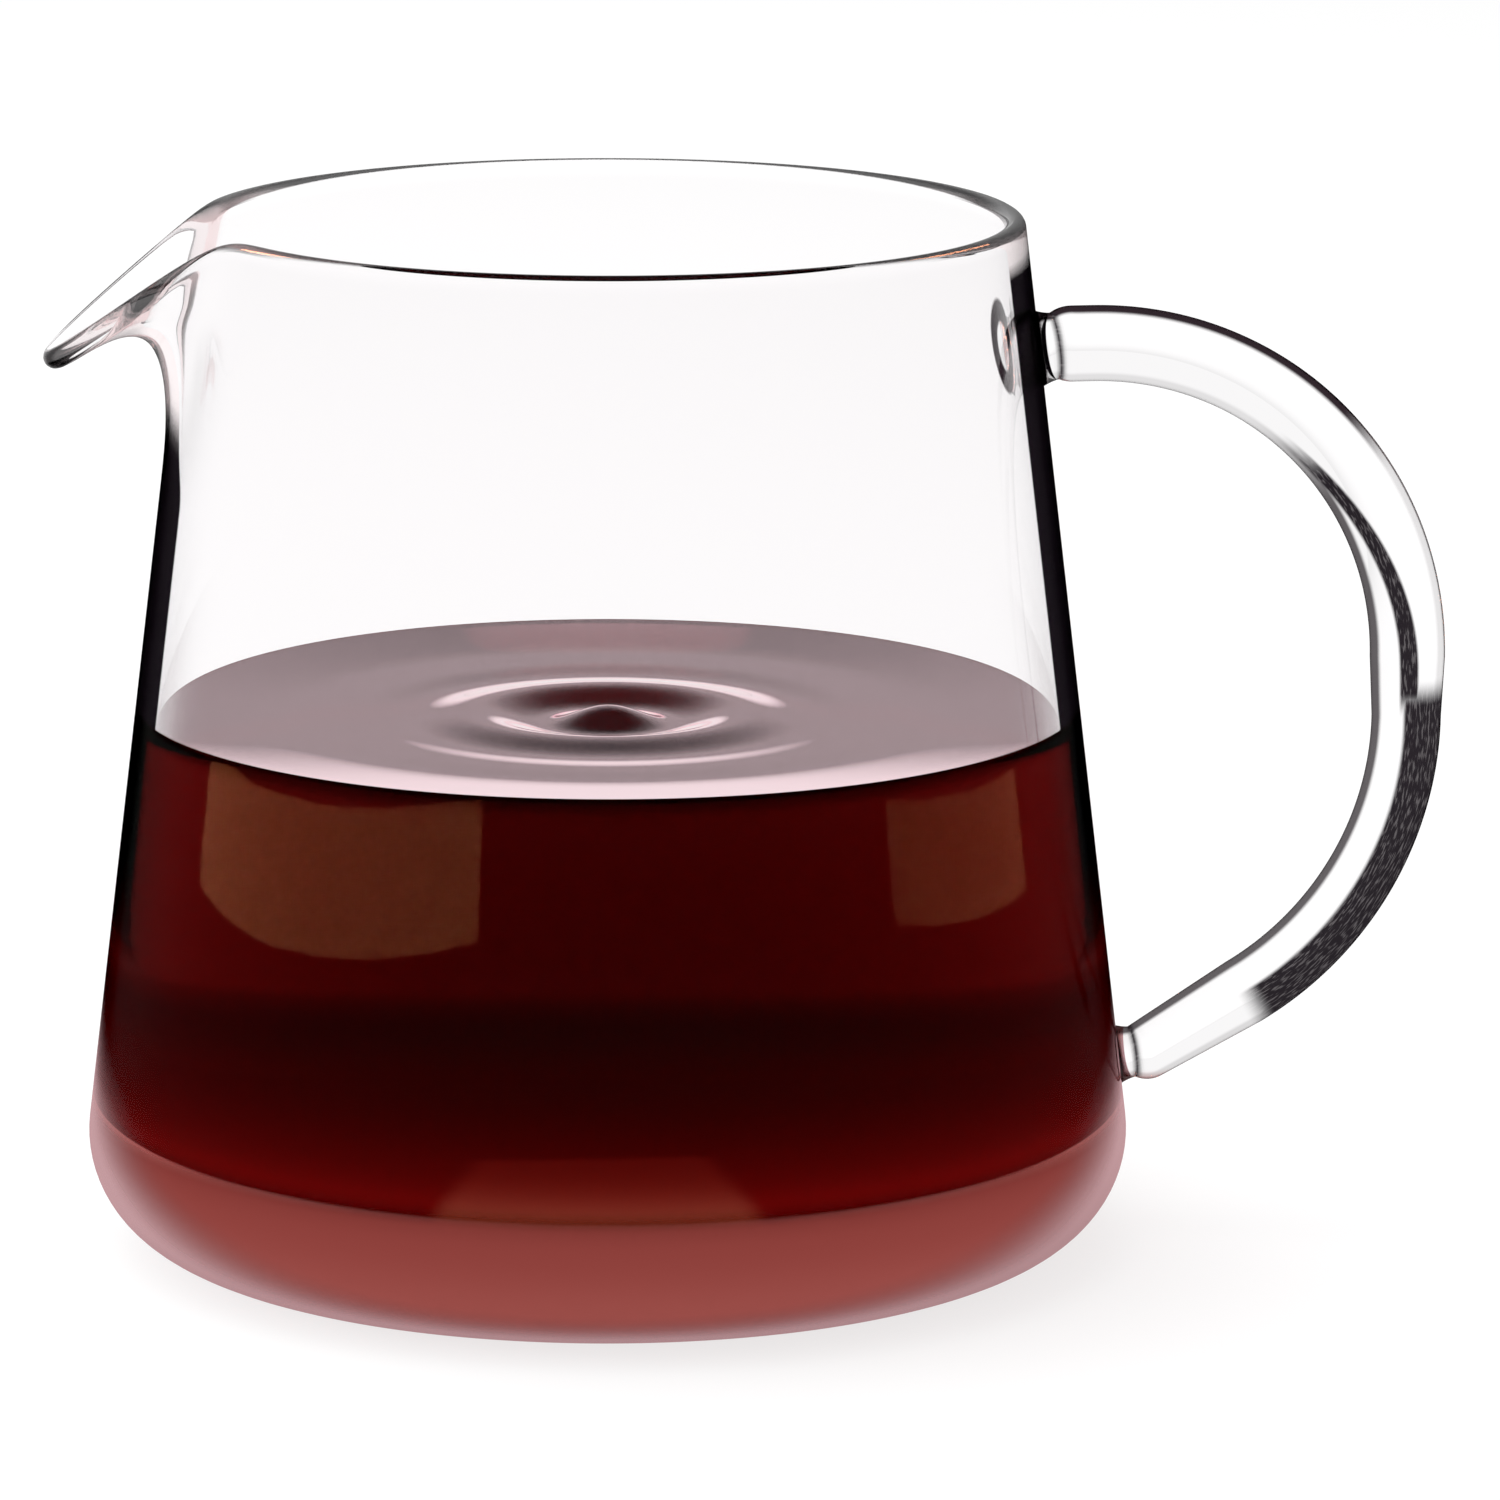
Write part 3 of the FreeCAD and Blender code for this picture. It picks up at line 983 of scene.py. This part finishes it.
    def rings(self) -> np.ndarray:
        """Rings of the whole handle, from inside the wall at its top to inside the wall at its leg.

        Each ring is centre + radius * (cos t * sideways + sin t * across), across being square
        to its direction and in the handle's plane.

        Returns:
            Points with the shape rings, points around, 3.
        """
        points, directions, rod = self.path()
        top = self.pad_rings(points[0], directions[0], rod[0])
        leg = self.pad_rings(points[-1], -directions[-1], rod[-1])
        centres = np.concatenate([top[0], points, leg[0][::-1]])
        facing = np.concatenate([top[1], directions, -leg[1][::-1]])
        radii = np.concatenate([top[2], rod, leg[2][::-1]])
        turn = np.linspace(0, 2 * math.pi, self.around, endpoint=False)[None, :, None]
        sideways = np.array([0.0, 1.0, 0.0])
        across = np.cross(facing, sideways)[:, None, :]
        return centres[:, None, :] + radii[:, None, None] * (np.cos(turn) * sideways + np.sin(turn) * across)

    def marks(self, points: np.ndarray) -> tuple[np.ndarray, np.ndarray, np.ndarray]:
        """Say where points lie on the rod, by the nearest point of its centre line.

        Args:
            points: Points on the rod's surface.

        Returns:
            Their side, -1 at the inside and 1 at the outside, their length along the rod, and
            their painted shade on the pads, which is 1 at the groove and where the pad meets the wall.
        """
        middle, directions, rod = self.path()
        steps = np.linalg.norm(np.diff(middle, axis=0), axis=1)
        lengths = np.concatenate([[0.0], np.cumsum(steps)])
        nearest = np.argmin(((points[:, None, :] - middle[None, :, :]) ** 2).sum(axis=-1), axis=1)
        outwards = np.cross(directions, np.array([0.0, 1.0, 0.0]))[nearest]
        offset = points - middle[nearest]
        side = np.einsum("ij,ij->i", offset, outwards) / rod[nearest]
        onwards = np.einsum("ij,ij->i", offset, directions[nearest])
        at_top = points[:, 2] > self.back_height
        end = np.where(at_top[:, None], middle[0], middle[-1])
        radius = np.where(at_top, rod[0], rod[-1])
        below = (end - points) @ self.wall_normal - np.sqrt(radius**2 - (radius - self.pad_groove) ** 2)
        near_groove = np.exp(-((below / self.groove_width) ** 2))
        near_wall = self.near_wall.of(below / self.pad_thickness)
        on_pad = np.linalg.norm(points - end, axis=1) < self.pad_reach * radius
        return side, lengths[nearest] + onwards, np.maximum(near_groove, near_wall) * on_pad


@dataclass
class Jug:
    """The whole jug: bowl, beak and handle as one piece of glass."""

    bowl: Bowl
    beak: Beak
    handle: RodHandle
    glass: ClearGlass
    around: int = 320
    crowding: float = 0.45
    wall_rings: int = 36
    lip_rings: int = 11
    touch: float = 0.05 * MM
    lit_throat: Change = Change(0.12, 0.24)
    lit_share: Change = Change(0.003, 0.06)
    lit_top: Change = Change(0.86, 0.92)
    lit_top_share: float = 0.5
    lit_side: Change = Change(0.5, 0.7)
    lit_side_reach: Change = Change(1.0, 1.3, 1.0, 0.0)
    lit_lip: Change = Change(0.5, 0.9, 1.0, 0.0)
    # The slender values set how strong the lip's painted dark outline and reflection are.
    slender_lip: float = 0.8
    slender_by_side: float = 0.2
    slender_by_share: float = 0.2

    def column_angles(self) -> np.ndarray:
        """Angles of the columns, closer together at the beak and the handle: t - crowding / 2 * sin(2 t)."""
        turn = np.linspace(0, 2 * math.pi, self.around, endpoint=False)
        return turn - self.crowding / 2 * np.sin(2 * turn)

    def make_body(self) -> bpy.types.Object:
        """Make the body, in rings from under the foot, over the lip and down to the cavity's floor."""
        angle = self.column_angles()
        outside = self.bowl.side(False, self.beak.root_height)
        inside = self.bowl.side(True, self.beak.root_height)[::-1]
        low_outside = on_cylinder(outside[:, :1], outside[:, 1:], angle[None, :])
        low_inside = on_cylinder(inside[:, :1], inside[:, 1:], angle[None, :])
        top = self.beak.rings(angle - math.pi, self.wall_rings, self.lip_rings)
        rings = np.concatenate([low_outside, top, low_inside])
        return ring_object("glass_jug", rings, self.marks(angle, len(outside), len(inside)))

    def marks(self, angle: np.ndarray, outside: int, inside: int) -> dict[Mark, np.ndarray]:
        """Work out the marks of the body's points.

        The lip's slenderness is slender_lip - slender_by_side * sin(angle) * (1 - share)
        + slender_by_share * share - share * (1 - share).

        Args:
            angle: The columns' angles.
            outside: How many rings come before the beak's.
            inside: How many rings come after them.

        Returns:
            For each mark, its values on the rings' points.
        """
        share = self.beak.share(angle - math.pi)
        before, after = outside + self.wall_rings, inside + self.wall_rings
        over = before + self.lip_rings
        cavity = np.concatenate([np.zeros(before), np.linspace(0, 1, self.lip_rings), np.ones(after)])
        # The lip's slenderness sets the strength of its painted dark outline and reflection, stronger on the
        # -Y side.
        lip = self.slender_lip - self.slender_by_side * np.sin(angle) * (1 - share)
        lip = lip + self.slender_by_share * share - share * (1 - share)
        slender = np.zeros((over + after, len(angle)))
        slender[before:over] = lip
        along = np.linspace(0, 1, self.wall_rings + 1)[1:, None]
        throat = self.lit_throat.of(along) * self.lit_share.of(share)
        throat = np.maximum(throat, self.lit_top.of(along) * (share < self.lit_top_share))
        beside = self.lit_side_reach.of(np.abs(angle - math.pi) / self.beak.half_angle)
        throat = np.maximum(throat, self.lit_side.of(along) * beside)
        lit = np.zeros_like(slender)
        lit[outside:before] = throat
        lit[before:over] = self.lit_lip.of(share)
        lit[over : over + self.wall_rings] = throat[::-1]
        return {Mark.CAVITY: cavity, Mark.SLENDER: slender, Mark.LIT: lit}

    def mark_rod(self, piece: bpy.types.Object) -> None:
        """Mark every point of the finished jug that lies outside its wall at the handle."""
        mesh = piece.data
        points = np.empty(len(mesh.vertices) * 3, dtype=np.float32)
        mesh.vertices.foreach_get("co", points)
        points = points.reshape(-1, 3).astype(float)
        radius = np.hypot(points[:, 0], points[:, 1])
        on_rod = (points[:, 0] > 0) & (radius > self.bowl.outer(points[:, 2]) + self.touch)
        for mark, on_handle in zip((Mark.SIDE, Mark.LENGTH, Mark.PAD_SHADE), self.handle.marks(points[on_rod])):
            values = np.zeros(len(points))
            values[on_rod] = on_handle
            set_mark(mesh, mark, values)
        for mark in (Mark.SLENDER, Mark.LIT):
            set_mark(mesh, mark, np.where(on_rod, 1.0, read_mark(mesh, mark)))

    def make(self) -> bpy.types.Object:
        """Build the jug and dress it."""
        piece = fused(self.make_body(), ring_object("rod_handle", self.handle.rings(), {}))
        self.mark_rod(piece)
        piece.data.materials.append(self.glass.make())
        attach(piece, Body.ROOT.value)
        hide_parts("jug")
        return piece


@dataclass
class Tea:
    """The tea: it wets the cavity, climbs the glass at its edge and carries the rings of a drop."""

    bowl: Bowl
    wet_height: float
    liquid: DarkTea = field(default_factory=DarkTea)
    climb: float = 1 * MM
    climb_reach: float = 14 * MM
    climb_power: float = 1.25
    soak: float = 0.15 * MM
    ring_height: float = 0.9 * MM
    ring_length: float = 14.5 * MM
    ring_fade: float = 18 * MM
    innermost: float = 0.2 * MM
    surface_rings: int = 150
    around: int = 256

    def profile(self) -> tuple[np.ndarray, np.ndarray]:
        """Profile from the axis along the floor, up the glass and back over the surface to the axis.

        The surface is the level, plus ring_height * cos(2 pi r / ring_length) *
        exp(-(r / ring_fade)^2), plus climb * share^climb_power near the glass.

        Returns:
            Rows of radius and height, and 1 for each row of the free surface, 0 elsewhere.
        """
        side = self.bowl.side(True, self.wet_height)
        grown = side.copy()
        over_floor = side[:, 1] - self.bowl.floor_height
        grown[:, 1] -= self.soak * np.isclose(over_floor, 0.0)
        grown[:, 0] += self.soak * np.clip(over_floor / self.bowl.cavity_corner, 0, 1)
        radius = np.linspace(grown[-1, 0], self.innermost, self.surface_rings)[1:]
        level = self.wet_height - self.climb
        share = np.clip(1 - (grown[-1, 0] - radius) / self.climb_reach, 0, 1)
        fade = np.exp(-((radius / self.ring_fade) ** 2))
        rings = self.ring_height * np.cos(2 * math.pi * radius / self.ring_length) * fade
        surface = np.stack([radius, level + rings + self.climb * share**self.climb_power], axis=-1)
        free = np.concatenate([np.zeros(len(grown)), np.ones(len(surface))])
        return np.concatenate([grown, surface]), free

    def make(self) -> bpy.types.Object:
        """Build the tea and dress it."""
        profile, free = self.profile()
        turn = np.linspace(0, 2 * math.pi, self.around, endpoint=False)
        rings = on_cylinder(profile[:, :1], profile[:, 1:], turn[None, :])
        piece = ring_object("dark_tea", rings, {Mark.FREE: free})
        piece.data.materials.append(self.liquid.make())
        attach(piece, Body.ROOT.value)
        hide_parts("tea")
        return piece


# The studio


@dataclass(frozen=True)
class Lamp:
    """A flat lamp that faces the jug's axis at a height.

    Its radiance is 1 where it is as bright as white, and its roll, in degrees, turns its right
    side up.
    """

    name: str
    place: tuple[float, float, float]
    aim_height: float
    size: tuple[float, float]
    radiance: float
    roll: float = 0.0
    colour: tuple[float, float, float] = (1.0, 1.0, 1.0)

    def hang(self) -> bpy.types.Object:
        """Hang the lamp, out of sight of the camera and of what is seen through glass.

        Returns:
            The lamp.
        """
        data = bpy.data.lights.new(self.name, "AREA")
        data.shape = "RECTANGLE"
        data.size, data.size_y = self.size
        data.energy = self.radiance * math.pi * data.size * data.size_y
        data.color = self.colour
        lamp = bpy.data.objects.new(self.name, data)
        place = Vector(self.place)
        facing = (place - Vector((0.0, 0.0, self.aim_height))).to_track_quat("Z", "Y")
        roll = Matrix.Rotation(math.radians(self.roll), 4, "Z")
        lamp.matrix_world = Matrix.Translation(place) @ facing.to_matrix().to_4x4() @ roll
        lamp.visible_transmission = False
        lamp.visible_camera = False
        bpy.context.scene.collection.objects.link(lamp)
        return lamp


@dataclass
class Studio:
    """A white table under soft light, in front of white, and the camera of the photograph."""

    table: PaleTable = field(default_factory=PaleTable)
    table_half: float = 3.0
    table_drop: float = 0.1 * MM
    sky: float = 0.6
    sky_colour: Colour = (1.0, 1.0, 1.0, 1.0)
    soft_lamp: Lamp = Lamp("soft_lamp", (-0.35, 0.25, 1.1), 0.0, (0.9, 0.9), 5.5)
    warm_lamps: tuple[Lamp, ...] = (
        Lamp("warm_left", (-0.2107, -0.0681, 0.041), 0.041, (0.34, 0.018), 34.0, 3.6, WARM),
        Lamp("warm_right", (0.1948, -0.0524, 0.038), 0.038, (0.153, 0.015), 20.0, -4.5, WARM),
    )
    camera_place: tuple[float, float, float] = (-0.1135, -0.8620, 0.2325)
    camera_aim: tuple[float, float, float] = (0.0147, 0.0, 0.0504)
    camera_roll: float = 0.0035
    sensor_width: float = 36.0
    clip_start: float = 0.01
    bounces: int = 24
    glossy_bounces: int = 12
    clear_bounces: int = 16
    lens: float = 207.9

    def lay_table(self) -> bpy.types.Object:
        """Make the table top."""
        half, low = self.table_half, -self.table_drop
        corners = [(-half, -half, low), (half, -half, low), (half, half, low), (-half, half, low)]
        mesh = bpy.data.meshes.new("table")
        mesh.from_pydata(corners, [], [(0, 1, 2, 3)])
        mesh.materials.append(self.table.make())
        table = bpy.data.objects.new("table", mesh)
        bpy.context.scene.collection.objects.link(table)
        return table

    def light_world(self) -> None:
        """Light the table evenly, and show white wherever the world itself is seen."""
        world = bpy.data.worlds.new("studio")
        world.use_nodes = True
        world.node_tree.nodes.clear()
        bpy.context.scene.world = world
        graph = Graph(world.node_tree)
        strength = graph.blend_numbers(graph.seen(), self.sky, 1.0)
        background = graph.coloured("ShaderNodeBackground", self.sky_colour, Strength=strength)
        output = graph.add("ShaderNodeOutputWorld")
        graph.feed(output.inputs["Surface"], background)

    def hang_lamps(self) -> None:
        """Hang one wide soft lamp over the jug, and two low warm ones that only show in its gloss."""
        self.soft_lamp.hang().visible_glossy = False
        for warm_lamp in self.warm_lamps:
            warm_lamp.hang().visible_diffuse = False

    def place_camera(self) -> None:
        """Put the camera where the photograph was taken from."""
        data = bpy.data.cameras.new("camera")
        data.sensor_width = self.sensor_width
        data.lens = self.lens
        data.clip_start = self.clip_start
        camera = bpy.data.objects.new("camera", data)
        place = Vector(self.camera_place)
        look = (Vector(self.camera_aim) - place).to_track_quat("-Z", "Y").to_matrix().to_4x4()
        camera.matrix_world = Matrix.Translation(place) @ look @ Matrix.Rotation(self.camera_roll, 4, "Z")
        bpy.context.scene.collection.objects.link(camera)
        bpy.context.scene.camera = camera

    def make(self) -> None:
        """Set the stage."""
        self.lay_table()
        self.light_world()
        self.hang_lamps()
        self.place_camera()
        scene = bpy.context.scene
        scene.view_settings.view_transform = "Standard"
        scene.cycles.max_bounces = self.bounces
        scene.cycles.transmission_bounces = self.bounces
        scene.cycles.glossy_bounces = self.glossy_bounces
        scene.cycles.transparent_max_bounces = self.clear_bounces


def main() -> None:
    """Build the jug, its tea and the studio, and note the model's size."""
    logging.basicConfig(level=logging.INFO, format="%(name)s: %(message)s")
    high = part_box("jug")[1]
    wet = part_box("tea")[1].z
    bowl = Bowl(rim_height=high.z)
    handle = RodHandle(bowl, back=high.x - RodHandle.top_rod)
    pads = ((handle.top_height, handle.top_rod), (handle.leg_height, handle.leg_rod))
    jug = Jug(bowl, Beak(bowl), handle, ClearGlass(wet, pads)).make()
    LOG.info("%s: %d faces", jug.name, len(jug.data.polygons))
    tea = Tea(bowl, wet_height=wet).make()
    LOG.info("%s: %d faces", tea.name, len(tea.data.polygons))
    Studio().make()


if __name__ == "__main__":
    main()
